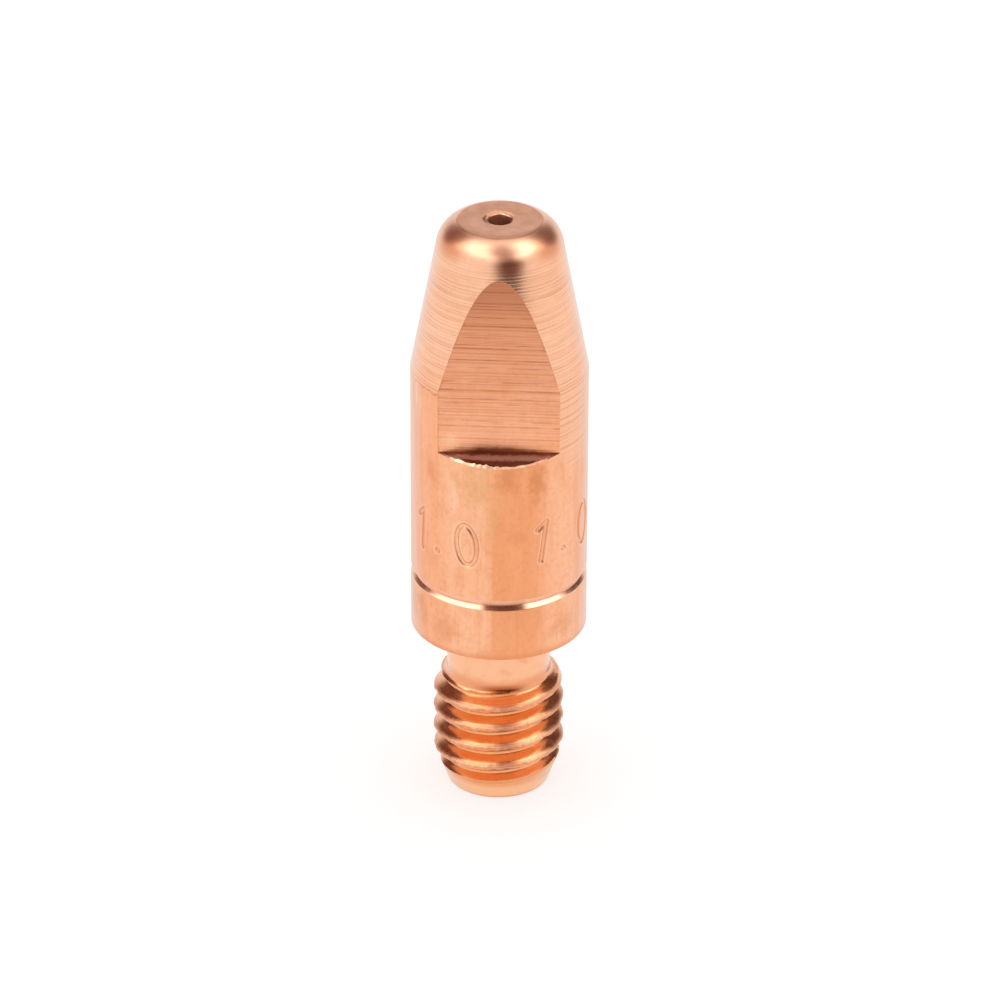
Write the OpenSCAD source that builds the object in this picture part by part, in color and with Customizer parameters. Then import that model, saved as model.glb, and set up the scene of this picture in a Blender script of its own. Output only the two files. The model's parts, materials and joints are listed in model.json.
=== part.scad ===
// Welding contact tip, turned from one copper rod. Stands on its threaded end, nose up, in millimetres.
// The axis of the wire passage is Z and the two milled flats face -Y and +Y.

/* [Overall] */
// Length from the threaded end to the face of the nose
overall_l = 28; // [25:0.5:40]
// Diameter of the drawn rod that the body keeps
body_d = 7.9; // [7.4:0.1:9]

/* [Nose] */
// Length of the nose, from the start of its taper to its face
nose_l = 7.1; // [5:0.1:8]
// Taper of the nose, from the axis to the flank
nose_taper = 10.9; // [8:0.1:13]
// Diameter of the faced flat on the nose
nose_face_d = 3.64; // [3:0.02:4]
// Radius of the crown that joins the flank to the face
crown_r = 1.4; // [0.8:0.1:2]

/* [Wire passage] */
// Bore that guides the wire
bore_d = 1.1; // [0.8:0.05:1.5]
// Width of the broken edge round the bore at the nose
lip_w = 0.12; // [0.05:0.01:0.3]
// Depth of the broken edge at the nose
lip_h = 0.12; // [0.05:0.01:0.3]
// Mouth of the lead-in at the threaded end
lead_in_d = 2.8; // [2:0.1:3.4]
// Included angle of the lead-in
lead_in_angle = 60; // [45:5:90]

/* [Spanner flats] */
// Distance across the flats
flats_af = 5.8; // [5.4:0.1:6.2]
// Height of the corner between a flat and its ledge, from the threaded end
flats_z = 18; // [15:0.5:19]
// Slope of a ledge, down towards the outside
ledge_slope = 16; // [0:1:25]

/* [Ring groove] */
// Height of the bottom of the groove, from the threaded end
groove_z = 10.8; // [9.5:0.02:13]
// Depth of the groove
groove_depth = 0.18; // [0.1:0.02:0.5]
// Height of the slope below the bottom of the groove
groove_below = 0.18; // [0.1:0.02:0.5]
// Height of the slope above the bottom of the groove
groove_above = 0.3; // [0.1:0.02:0.5]

/* [Threaded shank] */
// Length of the shank below the seating shoulder
shank_l = 8.1; // [7:0.1:9]
// Outside diameter of the thread
thread_d = 5.94; // [5.6:0.02:6.2]
// Height of the top of the full thread, from the threaded end
thread_top = 4.9; // [4:0.1:5.2]
// Height of the slope between the full thread and the relief
runout_l = 0.47; // [0.2:0.01:0.8]
// Diameter of the relief between the thread and the shoulder
neck_d = 4.66; // [4.2:0.02:5]
// Corner radius at the lower end of the relief
relief_r = 0.39; // [0.1:0.01:0.6]
// Diameter of the threaded end
foot_d = 4.6; // [4.2:0.02:5.2]
// Height of the taper that starts the thread
start_l = 1.8; // [0.6:0.1:2.4]

/* [Hidden] */
$fn = 96;
// How far a cut is carried past the face it opens
over = 1;
body_r = body_d / 2;
face_r = nose_face_d / 2;
nose_z = overall_l - nose_l;
// The flank of the nose rises from the body, and the crown is a circle that touches it and ends at the face
crown_in = face_r - body_r + crown_r * cos(nose_taper);
crown_up = nose_l + crown_r * sin(nose_taper);
crown_off = crown_in * cos(nose_taper) + crown_up * sin(nose_taper);
crown_reach = sqrt(crown_r * crown_r - crown_off * crown_off);
flank_l = crown_up * cos(nose_taper) - crown_in * sin(nose_taper) - crown_reach;
flank_r = body_r - flank_l * sin(nose_taper);
flank_z = nose_z + flank_l * cos(nose_taper);
crown_x = flank_r - crown_r * cos(nose_taper);
crown_z = flank_z - crown_r * sin(nose_taper);
relief_out = neck_d / 2 + relief_r;
relief_z = thread_top + runout_l;
relief_up = relief_z + relief_r;
bore_r = bore_d / 2;
lead_in_grow = tan(lead_in_angle / 2);
lead_in_h = (lead_in_d / 2 - bore_r) / lead_in_grow;
lip_grow = lip_w / lip_h;
flat_y = flats_af / 2;

// Straight-sided half section, from the threaded end up to the crown, with the corner of the relief left square
module shank_and_body_section() {
    polygon([
        [0, 0],
        [foot_d / 2, 0],
        [thread_d / 2, start_l],
        [thread_d / 2, thread_top],
        [relief_out, relief_z],
        [relief_out, relief_up],
        [neck_d / 2, relief_up],
        [neck_d / 2, shank_l],
        [body_r, shank_l],
        [body_r, groove_z - groove_below],
        [body_r - groove_depth, groove_z],
        [body_r, groove_z + groove_above],
        [body_r, nose_z],
        [flank_r, flank_z],
        [crown_x, crown_z],
        [face_r, overall_l],
        [0, overall_l]
    ]);
}

// Rounded rim of the nose, cut off level by the face
module crown_section() {
    intersection() {
        translate([crown_x, crown_z]) circle(r = crown_r);
        square([body_r, overall_l]);
    }
}

// What the lathe leaves: everything about the axis but the passage
module turned_blank() {
    rotate_extrude() {
        difference() {
            shank_and_body_section();
            translate([relief_out, relief_up]) circle(r = relief_r);
        }
        crown_section();
    }
}

// Lead-in, bore and broken edge, all on the axis, with both cones carried on past the ends
module wire_passage() {
    rotate_extrude()
        polygon([
            [0, -over],
            [bore_r + lead_in_grow * (lead_in_h + over), -over],
            [bore_r, lead_in_h],
            [bore_r, overall_l - lip_h],
            [bore_r + lip_grow * (lip_h + over), overall_l + over],
            [0, overall_l + over]
        ]);
}

// One milling cut on the -Y side: open to the nose and to the outside, with a sloping ledge as its floor
module flat_cut() {
    cut_depth = body_r - flat_y + over;
    rotate([90, 0, -90])
        linear_extrude(height = body_d + 2 * over, center = true)
            polygon([
                [flat_y, flats_z],
                [flat_y + cut_depth, flats_z - cut_depth * tan(ledge_slope)],
                [flat_y + cut_depth, overall_l + over],
                [flat_y, overall_l + over]
            ]);
}

module contact_tip() {
    color([0.85, 0.52, 0.38])
        difference() {
            turned_blank();
            wire_passage();
            for (turn = [0, 180])
                rotate([0, 0, turn]) flat_cut();
        }
}

contact_tip();
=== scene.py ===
# %% [markdown]
# # A welding contact tip
# The wire of a welding gun runs through this small copper part and takes its current from it. It is turned
# from one drawn rod: a threaded shank, a relief, a plain body with a ring groove, a tapered nose and two
# spanner flats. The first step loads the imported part, which fixes the frame and the sizes that the looks
# have to keep.

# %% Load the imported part
import json
import math

import bpy
import numpy as np
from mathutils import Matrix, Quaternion, Vector, noise


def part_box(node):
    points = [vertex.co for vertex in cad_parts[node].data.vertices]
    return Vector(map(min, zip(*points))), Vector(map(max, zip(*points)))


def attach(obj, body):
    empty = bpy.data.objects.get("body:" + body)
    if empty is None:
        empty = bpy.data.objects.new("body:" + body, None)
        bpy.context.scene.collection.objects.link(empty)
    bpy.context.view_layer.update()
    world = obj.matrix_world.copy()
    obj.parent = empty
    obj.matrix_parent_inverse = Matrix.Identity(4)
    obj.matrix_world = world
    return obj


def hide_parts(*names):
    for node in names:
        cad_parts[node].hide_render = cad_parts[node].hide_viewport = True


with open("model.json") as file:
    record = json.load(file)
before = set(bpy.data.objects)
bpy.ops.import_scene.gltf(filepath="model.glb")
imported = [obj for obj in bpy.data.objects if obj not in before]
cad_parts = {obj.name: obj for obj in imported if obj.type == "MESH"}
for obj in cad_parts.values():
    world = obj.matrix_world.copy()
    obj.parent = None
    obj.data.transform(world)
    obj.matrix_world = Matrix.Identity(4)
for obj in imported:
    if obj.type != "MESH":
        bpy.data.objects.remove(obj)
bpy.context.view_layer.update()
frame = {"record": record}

# %% [markdown]
# ## Sizes
# All modelling below is in millimetres, and the finished mesh is scaled to metres at the end, because
# Blender's edit tools are easier to steer on numbers near one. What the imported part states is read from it.
# The rest repeats the turner's sizes: angles of cuts, the crown of the nose, the groove and the ends of the
# thread.

# %% Sizes in millimetres
PER_METRE = 1000
mounts = {mount["name"]: mount for mount in frame["record"]["mounts"]}
_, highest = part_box("contact_tip")
LENGTH = round(highest.z * PER_METRE, 3)
BODY_R = round(highest.x * PER_METRE, 3)
THREAD_R = mounts["thread"]["dims"]["r_mm"]
BORE_R = mounts["wire_bore"]["dims"]["r_mm"]
SEAT_Z = round(mounts["seat"]["pos_m"][2] * PER_METRE, 3)
FLAT_Y = round(mounts["flat_back"]["pos_m"][1] * PER_METRE, 3)
NOSE_Z, NOSE_TAPER, FACE_R, CROWN_R = 20.9, 10.9, 1.82, 1.4
GROOVE_Z, GROOVE_DEPTH, GROOVE_BELOW, GROOVE_ABOVE = 10.8, 0.18, 0.18, 0.3
LEDGE_Z, LEDGE_SLOPE = 18.0, 16.0
NECK_R, THREAD_TOP, RELIEF_Z, RELIEF_R = 2.33, 4.9, 5.37, 0.39
FOOT_R, START_Z = 2.3, 1.8
LEAD_R, LEAD_Z = 1.4, 1.472
print(f"tip {LENGTH} long, body radius {BODY_R}, thread radius {THREAD_R}, bore radius {BORE_R}")

# %% [markdown]
# ## Camera
# The picture was taken from a little above, with a long lens, so the sides of the tip stay nearly parallel.
# The camera is set by what a photographer would say: distance, height angle, lens and the point aimed at.

# %% Camera
CAMERA_DISTANCE = 0.260
CAMERA_HEIGHT_ANGLE = 28.0
CAMERA_SIDE_ANGLE = 0.5
CAMERA_ROLL = 0.2
CAMERA_LENS = 209.5
CAMERA_SENSOR = 36
CAMERA_NEAREST = 0.01
CAMERA_AIM = Vector((0.00004, 0.0, 0.0141))


def direction(side_angle, height_angle):
    """Unit vector from the tip, by degrees from the front towards +X and degrees above the floor."""
    side = math.radians(side_angle)
    height = math.radians(height_angle)
    return Vector((math.sin(side) * math.cos(height), -math.cos(side) * math.cos(height), math.sin(height)))


scene = bpy.context.scene
scene.view_settings.view_transform = "Standard"
towards_camera = direction(CAMERA_SIDE_ANGLE, CAMERA_HEIGHT_ANGLE)
bpy.ops.object.select_all(action="DESELECT")
bpy.ops.object.camera_add(location=CAMERA_AIM + towards_camera * CAMERA_DISTANCE)
camera = bpy.context.object
camera.rotation_mode = "QUATERNION"
level = (-towards_camera).to_track_quat("-Z", "Y")
camera.rotation_quaternion = level @ Quaternion((0, 0, 1), math.radians(CAMERA_ROLL))
camera.data.lens = CAMERA_LENS
camera.data.sensor_width = CAMERA_SENSOR
camera.data.clip_start = CAMERA_NEAREST
scene.camera = camera
print("camera at", [round(value, 4) for value in camera.location])

# %% [markdown]
# ## Outline of the turned part
# A lathe makes one outline all round, so the tip starts as half a section: one row of points, drawn by
# extruding a single vertex from step to step, and spun about the axis. Small rounds stand where the real
# edges are broken, and a few close pairs of points hold the shading flat on either side of a bend.

# %% Half section in millimetres
COLUMNS = 360
PITCH = 1.0
STEP = PITCH / COLUMNS
FOOT_RING_Z = 22 * STEP
NECK_RING_Z = 2190 * STEP
STAMP_LOW, STAMP_HIGH, STAMP_ROWS = 12.5, 15.1, 44
RIM_BLEND, RIM_WIDTH = 4, 0.07
FACE_DISH = 0.06


def arc(centre_r, centre_z, radius, start, end, steps):
    """Points of a round in the half section, with angles in degrees from the outward direction."""
    angles = [math.radians(start + (end - start) * step / steps) for step in range(steps + 1)]
    return [(centre_r + radius * math.cos(a), centre_z + radius * math.sin(a)) for a in angles]


def shank_limit(z):
    """Largest radius of the shank at a height: start taper, thread, run-out slope, round corner and neck."""
    corner_r, corner_z = NECK_R + RELIEF_R, RELIEF_Z + RELIEF_R
    slopes = np.interp(z, (START_Z, THREAD_TOP, RELIEF_Z), (THREAD_R, THREAD_R, corner_r))
    slopes = np.where(z < START_Z, FOOT_R + (THREAD_R - FOOT_R) * z / START_Z, slopes)
    drop = np.clip(corner_z - z, 0.0, RELIEF_R)
    return np.where(z < RELIEF_Z, slopes, corner_r - np.sqrt(RELIEF_R**2 - drop**2))


def shoulder_outline():
    """Neck, its fillet, the seating shoulder and the broken edge of the body."""
    fillet, edge = 0.1, 0.07
    neck = [(NECK_R, NECK_RING_Z), (NECK_R, SEAT_Z - 2 * fillet)]
    corner = arc(NECK_R + fillet, SEAT_Z - fillet, fillet, 180, 90, 5)
    return neck + corner + arc(BODY_R - edge, SEAT_Z + edge, edge, -90, 0, 5)


def groove_outline():
    """The ring groove, an unequal V with small rounds."""
    edge, root = 0.02, 0.015
    low, high = GROOVE_Z - GROOVE_BELOW, GROOVE_Z + GROOVE_ABOVE
    return [
        (BODY_R, low - 2 * edge),
        (BODY_R - edge * 0.3, low - edge * 0.3),
        (BODY_R - edge * 1.5, low + edge * 1.5),
        (BODY_R - GROOVE_DEPTH + root, GROOVE_Z - root),
        (BODY_R - GROOVE_DEPTH + root, GROOVE_Z + root * 1.6),
        (BODY_R - edge * 1.2, high - edge * 2.0),
        (BODY_R - edge * 0.2, high + edge * 0.3),
        (BODY_R, high + 2 * edge),
    ]


def nose_outline():
    """Taper, crown and rim of the face; also gives the point where the straight flank ends."""
    taper = math.radians(NOSE_TAPER)
    crown_in = FACE_R - BODY_R + CROWN_R * math.cos(taper)
    crown_up = LENGTH - NOSE_Z + CROWN_R * math.sin(taper)
    offset = crown_in * math.cos(taper) + crown_up * math.sin(taper)
    flank = crown_up * math.cos(taper) - crown_in * math.sin(taper) - math.sqrt(CROWN_R**2 - offset**2)
    flank_r = BODY_R - flank * math.sin(taper)
    flank_z = NOSE_Z + flank * math.cos(taper)
    crown_r = flank_r - CROWN_R * math.cos(taper)
    crown_z = flank_z - CROWN_R * math.sin(taper)
    face_angle = math.degrees(math.atan2(LENGTH - crown_z, FACE_R - crown_r))
    bend = 0.05
    foot = [(BODY_R, NOSE_Z - bend), (BODY_R, NOSE_Z), (BODY_R - bend * math.tan(taper), NOSE_Z + bend)]
    middle = []
    for share in (0.35, 0.7):
        middle.append((BODY_R + (flank_r - BODY_R) * share, NOSE_Z + (flank_z - NOSE_Z) * share))
    crown = arc(crown_r, crown_z, CROWN_R, NOSE_TAPER, face_angle - RIM_BLEND, 20)
    rim = []
    for step in range(1, 7):
        share = step / 6
        weights = ((1 - share) ** 2, 2 * share * (1 - share), share**2)
        corners = (crown[-1], (FACE_R, LENGTH), (FACE_R - RIM_WIDTH, LENGTH))
        rim.append(tuple(sum(w * corner[axis] for w, corner in zip(weights, corners)) for axis in (0, 1)))
    return foot + middle + crown + rim, (flank_r, flank_z)


def passage_outline():
    """Dished face, mouth of the bore, the bore, its lead-in and the threaded end."""
    lip, edge = 0.05, 0.05
    face = [(1.4, LENGTH), (1.15, LENGTH - FACE_DISH * 0.5)]
    face += [(BORE_R + r, LENGTH - FACE_DISH) for r in (0.40, 0.32, 0.26, 0.21, 0.17, 0.13, 0.09)]
    mouth = arc(BORE_R + lip, LENGTH - FACE_DISH - lip, lip, 90, 180, 4)
    bore = [(BORE_R, LENGTH - 0.3), (BORE_R, LENGTH - 1.2), (BORE_R, LEAD_Z)]
    lead_in = [(LEAD_R - edge * 0.5, edge), (LEAD_R + edge, 0.0)]
    foot = [(FOOT_R - edge, 0.0), (FOOT_R - edge * 0.2, edge * 0.25)]
    return face + mouth + bore + lead_in + foot + [(float(shank_limit(FOOT_RING_Z)), FOOT_RING_Z)]


body_rows = [(BODY_R, float(z)) for z in np.linspace(STAMP_LOW, STAMP_HIGH, STAMP_ROWS)]
nose, flank_end = nose_outline()
blank_outline = shoulder_outline() + groove_outline() + body_rows + nose + passage_outline()
print(len(blank_outline), "points; the nose leaves its straight flank at", [round(v, 3) for v in flank_end])

# %% Spin the blank
WELD = 0.001


def edit_all():
    """Edit mode, with everything selected."""
    bpy.ops.object.mode_set(mode="EDIT")
    bpy.ops.mesh.select_all(action="SELECT")


def leave_edit():
    bpy.ops.object.mode_set(mode="OBJECT")


def select_only(piece):
    bpy.ops.object.select_all(action="DESELECT")
    piece.select_set(True)
    bpy.context.view_layer.objects.active = piece


def draw_outline(name, points):
    """One vertex, extruded from point to point in the XZ plane; the object is left in edit mode."""
    bpy.ops.object.select_all(action="DESELECT")
    bpy.ops.mesh.primitive_plane_add(size=1)
    piece = bpy.context.object
    piece.name = name
    edit_all()
    bpy.ops.mesh.merge(type="CENTER")
    bpy.ops.transform.translate(value=(points[0][0], 0, points[0][1]))
    for (r, z), (next_r, next_z) in zip(points, points[1:]):
        bpy.ops.mesh.extrude_vertices_move(TRANSFORM_OT_translate={"value": (next_r - r, 0, next_z - z)})
    return piece


tip = draw_outline("contact_tip_copper", blank_outline)
edit_all()
bpy.ops.mesh.spin(steps=COLUMNS, angle=2 * math.pi, center=(0, 0, 0), axis=(0, 0, 1), use_auto_merge=True)
edit_all()
bpy.ops.mesh.remove_doubles(threshold=WELD)
leave_edit()
print("blank:", len(tip.data.polygons), "faces")

# %% [markdown]
# ## Thread
# The thread has the common metric form, one turn per millimetre and right-handed: straight flanks with a
# round at the crest and at the root. A Screw modifier sweeps one saw-tooth line through a single turn and
# lifts it by the pitch, so the end of each row meets the start of the row above. Heights along a tooth are
# whole degrees of that turn, so a level cut through the mesh passes through vertices and leaves a clean
# ring that welds to the blank. A tool then turns the crests down to the taper at the foot, and to the slope
# and the round corner that lead into the neck. Smooth noise wears the crests a little first, because they
# have been handled.

# %% Sweep the thread
THREAD_DEPTH = 0.59
CREST_HALF, FLANK_RUN = 26, 124
CREST_ROUND, ROOT_ROUND = 0.3, 0.15
CREST_TURN = 59
TOOTH_ROWS = (0, 14, 28, 44, 80, 118, 138, 156)
TURNS = 8


def ragged(x, y, z):
    """Smooth noise from -1 to 1 at a point, the same on every run."""
    return noise.noise(Vector((x, y, z)))


def soften(value, width):
    """Zero well below zero, the value itself well above it, and a round between."""
    return value if value > width else max(0.0, value + width) ** 2 / (4 * width)


def tooth_radius(degrees):
    """Radius at a distance from the crest, which is given in degrees of a turn."""
    flank = 1 - (abs(degrees) - CREST_HALF) / FLANK_RUN
    share = soften(1 - soften(1 - flank, CREST_ROUND), ROOT_ROUND)
    return THREAD_R - THREAD_DEPTH * (1 - share)


tooth_rows = [-180] + [-degrees for degrees in TOOTH_ROWS[:0:-1]] + list(TOOTH_ROWS)
tooth_line = []
for turn in range(TURNS):
    for degrees in tooth_rows:
        tooth_line.append((tooth_radius(degrees), (turn - 1) * PITCH + (CREST_TURN + degrees) * STEP))
shank = draw_outline("shank", tooth_line)
leave_edit()
screw = shank.modifiers.new("thread", "SCREW")
screw.axis = "Z"
screw.angle = 2 * math.pi
screw.screw_offset = PITCH
screw.steps = screw.render_steps = COLUMNS
bpy.ops.object.modifier_apply(modifier=screw.name)
print("swept:", TURNS, "turns,", len(shank.data.polygons), "faces")

# %% Wear and trim the thread
ON_PLANE = 1e-4
CORNER_ROWS = (0.0, 0.03, 0.08, 0.15, 0.24, RELIEF_R)
PLAIN_FOOT, FOOT_FADE = 0.5, 0.4
WORN_FROM, WORN_FULL = 0.7, 1.1
WEAR, WEAR_BROAD, WEAR_NARROW = 0.030, 0.045, 0.030
WANDER_BROAD, WANDER_NARROW = 0.040, 0.024


def read_points(piece):
    points = np.empty(len(piece.data.vertices) * 3, np.float32)
    piece.data.vertices.foreach_get("co", points)
    return points.reshape(-1, 3).astype(float)


def write_points(piece, points):
    piece.data.vertices.foreach_set("co", points.astype(np.float32).ravel())
    piece.data.update()


def roughen_crests(points):
    """Wears the crests unevenly: they lose a little radius and wander up and down."""
    radius = np.hypot(points[:, 0], points[:, 1])
    crest = np.clip((radius - THREAD_R + 0.25) / 0.2, 0, 1)
    crest *= np.interp(points[:, 2], (WORN_FROM, WORN_FULL, THREAD_TOP, RELIEF_Z), (0.0, 1.0, 1.0, 0.0))
    for index in np.nonzero(crest > 0)[0]:
        x, y, z = points[index]
        broad = ragged(x * 1.8, y * 1.8, z * 1.8)
        narrow = ragged(x * 5.0, y * 5.0, z * 5.0 + 3.0)
        worn = max(0.0, WEAR + WEAR_BROAD * broad + WEAR_NARROW * narrow)
        points[index, :2] *= 1 - crest[index] * worn / radius[index]
        points[index, 2] += crest[index] * (WANDER_BROAD * broad + WANDER_NARROW * narrow)


edit_all()
bpy.ops.mesh.remove_doubles(threshold=WELD)
for height in [START_Z, THREAD_TOP] + [RELIEF_Z + rise for rise in CORNER_ROWS]:
    edit_all()
    bpy.ops.mesh.bisect(plane_co=(0, 0, height), plane_no=(0, 0, 1), threshold=ON_PLANE)
leave_edit()

points = read_points(shank)
roughen_crests(points)
radius = np.hypot(points[:, 0], points[:, 1])
limit = shank_limit(points[:, 2])
cut = np.maximum(limit - radius, 0) * np.clip((points[:, 2] - PLAIN_FOOT) / FOOT_FADE, 0, 1)
points[:, :2] *= ((limit - cut) / radius)[:, None]
write_points(shank, points)

for height, below in ((FOOT_RING_Z, True), (NECK_RING_Z, False)):
    edit_all()
    bpy.ops.mesh.bisect(plane_co=(0, 0, height), plane_no=(0, 0, 1), clear_inner=below, clear_outer=not below,
                        threshold=ON_PLANE)
leave_edit()

points = read_points(shank)
for height in (FOOT_RING_Z, NECK_RING_Z):
    ring = np.abs(points[:, 2] - height) < WELD
    points[ring, :2] *= (shank_limit(height) / np.hypot(points[ring, 0], points[ring, 1]))[:, None]
write_points(shank, points)
print("threaded shank:", len(shank.data.polygons), "faces")

# %% Weld the shank to the blank


def open_edges(piece):
    """Edges that don't have a face on both sides; a closed mesh has none."""
    count = np.zeros(len(piece.data.edges), int)
    for polygon in piece.data.polygons:
        for loop in polygon.loop_indices:
            count[piece.data.loops[loop].edge_index] += 1
    return int((count != 2).sum())


select_only(tip)
shank.select_set(True)
bpy.ops.object.join()
edit_all()
bpy.ops.mesh.remove_doubles(threshold=WELD)
bpy.ops.mesh.normals_make_consistent(inside=False)
leave_edit()
print("welded:", len(tip.data.polygons), "faces,", open_edges(tip), "open edges")

# %% [markdown]
# ## Spanner flats
# A milling cutter takes a flat from each side of the nose and leaves a sloping ledge where it stops. A
# boolean would do it too. Here the mesh is bisected along the two planes of the cut, the waste is deleted,
# and the two openings are filled, which gives one clean face for the flat and one for the ledge.

# %% Cut the flats
NEAR = 1e-3
CUT_FROM_Z, CUT_FROM_Y = 15.5, 1.5


def pick(piece, kind, test):
    """Selects the vertices or faces of a piece that pass a test on their place, and enters edit mode."""
    leave_edit()
    select_only(piece)
    bpy.ops.object.mode_set(mode="EDIT")
    bpy.ops.mesh.select_mode(type=kind)
    bpy.ops.mesh.select_all(action="DESELECT")
    leave_edit()
    items, place = (piece.data.vertices, "co") if kind == "VERT" else (piece.data.polygons, "center")
    for item in items:
        item.select = test(getattr(item, place))
    bpy.ops.object.mode_set(mode="EDIT")


def ledge_height(y):
    """Height of the ledges' planes at a distance from the middle plane."""
    return LEDGE_Z - (abs(y) - FLAT_Y) * math.tan(math.radians(LEDGE_SLOPE))


def cut_flat(side):
    """Cuts one flat and its ledge; the side is -1 for the front and 1 for the back."""
    slope = math.radians(LEDGE_SLOPE)
    corner, upwards = (0, side * FLAT_Y, LEDGE_Z), (0, side * math.sin(slope), math.cos(slope))
    pick(tip, "FACE", lambda at: at.z > CUT_FROM_Z and side * at.y > CUT_FROM_Y)
    bpy.ops.mesh.bisect(plane_co=corner, plane_no=upwards, threshold=ON_PLANE)
    pick(tip, "FACE", lambda at: at.z > ledge_height(at.y) - NEAR and side * at.y > CUT_FROM_Y)
    bpy.ops.mesh.bisect(plane_co=corner, plane_no=(0, side, 0), threshold=ON_PLANE)
    pick(tip, "FACE", lambda at: at.z > ledge_height(at.y) and side * at.y > FLAT_Y)
    bpy.ops.mesh.delete(type="FACE")
    bpy.ops.mesh.select_mode(type="VERT")
    on_flat = lambda at: abs(side * at.y - FLAT_Y) < NEAR and at.z > LEDGE_Z - NEAR
    on_ledge = lambda at: side * at.y > FLAT_Y - NEAR and abs(at.z - ledge_height(at.y)) < NEAR
    for chosen in (lambda at: on_flat(at) and on_ledge(at), on_flat, on_ledge):
        pick(tip, "VERT", chosen)
        bpy.ops.mesh.edge_face_add()
    leave_edit()


for side in (-1, 1):
    cut_flat(side)
print("with flats:", len(tip.data.polygons), "faces,", open_edges(tip), "open edges")

# %% [markdown]
# ## Burrs
# The cutter pushes a ragged bead of copper over the outer edge of each ledge, and the bore has a torn lip.
# Both are too irregular for a bevel. The ledge is inset twice, which gives it a narrow rim, and the rim's
# points are lifted by smooth noise. The points round the mouth of the bore are pushed about in the same
# way.

# %% Burr along the ledges and round the bore
RIM_WIDTHS = (0.09, 0.08)
RIM_END = 2.15
BURR_HEIGHT = 0.2
BURR_ACROSS = (-1.0, -0.8, -0.6, -0.15, 0.05, 0.8, 1.0)
BURR_STRENGTH = (0.1, 0.25, 0.6, 1.0, 0.4, 0.15, 0.0)
BURR_SECTION = (0.12, 0.9, 0.0)
LIP_REACH, LIP_DROP = 0.3, 0.35
LIP_RING, LIP_SPREAD = 0.12, 0.06
for width in RIM_WIDTHS:
    pick(tip, "FACE", lambda at: abs(at.y) > FLAT_Y + 0.2 and abs(at.z - ledge_height(at.y)) < NEAR)
    bpy.ops.mesh.inset(thickness=width, use_even_offset=False)
    leave_edit()


def lift_burr(points):
    """Raises the rim of each ledge, most left of its middle, and fades out towards both ends of the ledge."""
    radius = np.hypot(points[:, 0], points[:, 1])
    half_width = math.sqrt(BODY_R**2 - FLAT_Y**2)
    for index, (x, y, z) in enumerate(points):
        inside = BODY_R - radius[index]
        if abs(y) < FLAT_Y + 0.03 or inside > sum(RIM_WIDTHS) or abs(z - ledge_height(y)) > NEAR:
            continue
        across = x / half_width * (-1 if y > 0 else 1)
        strength = np.interp(across, BURR_ACROSS, BURR_STRENGTH)
        lumps = 0.75 + 0.40 * ragged(x * 2.1, y * 2.1, 4.0) + 0.50 * ragged(x * 6.5, y * 6.5, 9.0)
        section = np.interp(inside, (0.0, RIM_WIDTHS[0], sum(RIM_WIDTHS)), BURR_SECTION)
        points[index, 2] += BURR_HEIGHT * strength * max(lumps, 0.1) * section


def tear_lip(points):
    """Raises a crescent behind the bore, sinks a dent at its left and roughens its rim."""
    radius = np.hypot(points[:, 0], points[:, 1])
    for index, (x, y, z) in enumerate(points):
        away = radius[index] - BORE_R
        if away > LIP_REACH or z < LENGTH - LIP_DROP:
            continue
        turn = math.atan2(y, x)
        wave = ragged(math.cos(turn) * 1.6, math.sin(turn) * 1.6, 2.0)
        wave += 0.6 * ragged(math.cos(turn) * 4.5, math.sin(turn) * 4.5, 7.0)
        behind = max(0.0, math.sin(turn)) * min(1.0, 0.8 + 0.5 * wave)
        dent = max(0.0, -math.cos(turn + 0.3)) ** 3
        ring = math.exp(-(((away - LIP_RING) / LIP_SPREAD) ** 2))
        points[index, 2] += ring * (0.95 * FACE_DISH * behind - 0.09 * dent)
        points[index, :2] *= 1 + 0.05 * wave * np.interp(LENGTH - z, (0.0, 0.12, LIP_DROP), (0.3, 1.0, 0.0))


points = read_points(tip)
lift_burr(points)
tear_lip(points)
write_points(tip, points)
print("after the burrs:", len(tip.data.polygons), "faces,", open_edges(tip), "open edges")

# %% [markdown]
# ## Stamped size
# Such tips carry a plain number punched into the body by hand. The strokes are described as lines on the
# unrolled body, and points near a stroke are pressed in, with a low swelling beside it where the copper was
# pushed up. The faces under the figures are subdivided first, so that the strokes are crisp. How deep each
# point was pressed is kept as an attribute, because the walls of the strokes get a painted shade and their
# raised borders a painted highlight.

# %% Strokes of the figures
FIGURE_HEIGHT, FIGURE_WIDTH = 1.95, 0.95
STROKE_HALF, STROKE_RAMP, STROKE_DEPTH, STROKE_SWELL = 0.13, 0.07, 0.05, 0.016
STAMP_Z = (STAMP_LOW + STAMP_HIGH) / 2
STAMP_MARGIN, POINT_HALF = 0.25, 0.1
STAMPS = (("one", -58, 0.05, 4), ("point", -43, -0.70, 0), ("nought", -21, -0.02, -6),
          ("one", 30, 0.08, 8), ("point", 47, -0.62, 0), ("nought", 70, 0.0, 5))


def figure_strokes(name):
    """Strokes of a figure about its centre, as lists of points in millimetres."""
    half_h, half_w = FIGURE_HEIGHT / 2, FIGURE_WIDTH / 2
    if name == "point":
        return [[(-0.04, 0.0), (0.04, 0.0)]]
    if name == "one":
        return [[(-0.34, half_h - 0.42), (0.05, half_h), (0.05, -half_h)]]
    turns = [2 * math.pi * step / 40 for step in range(41)]
    return [[(half_w * math.cos(turn), half_h * math.sin(turn)) for turn in turns]]


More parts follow.
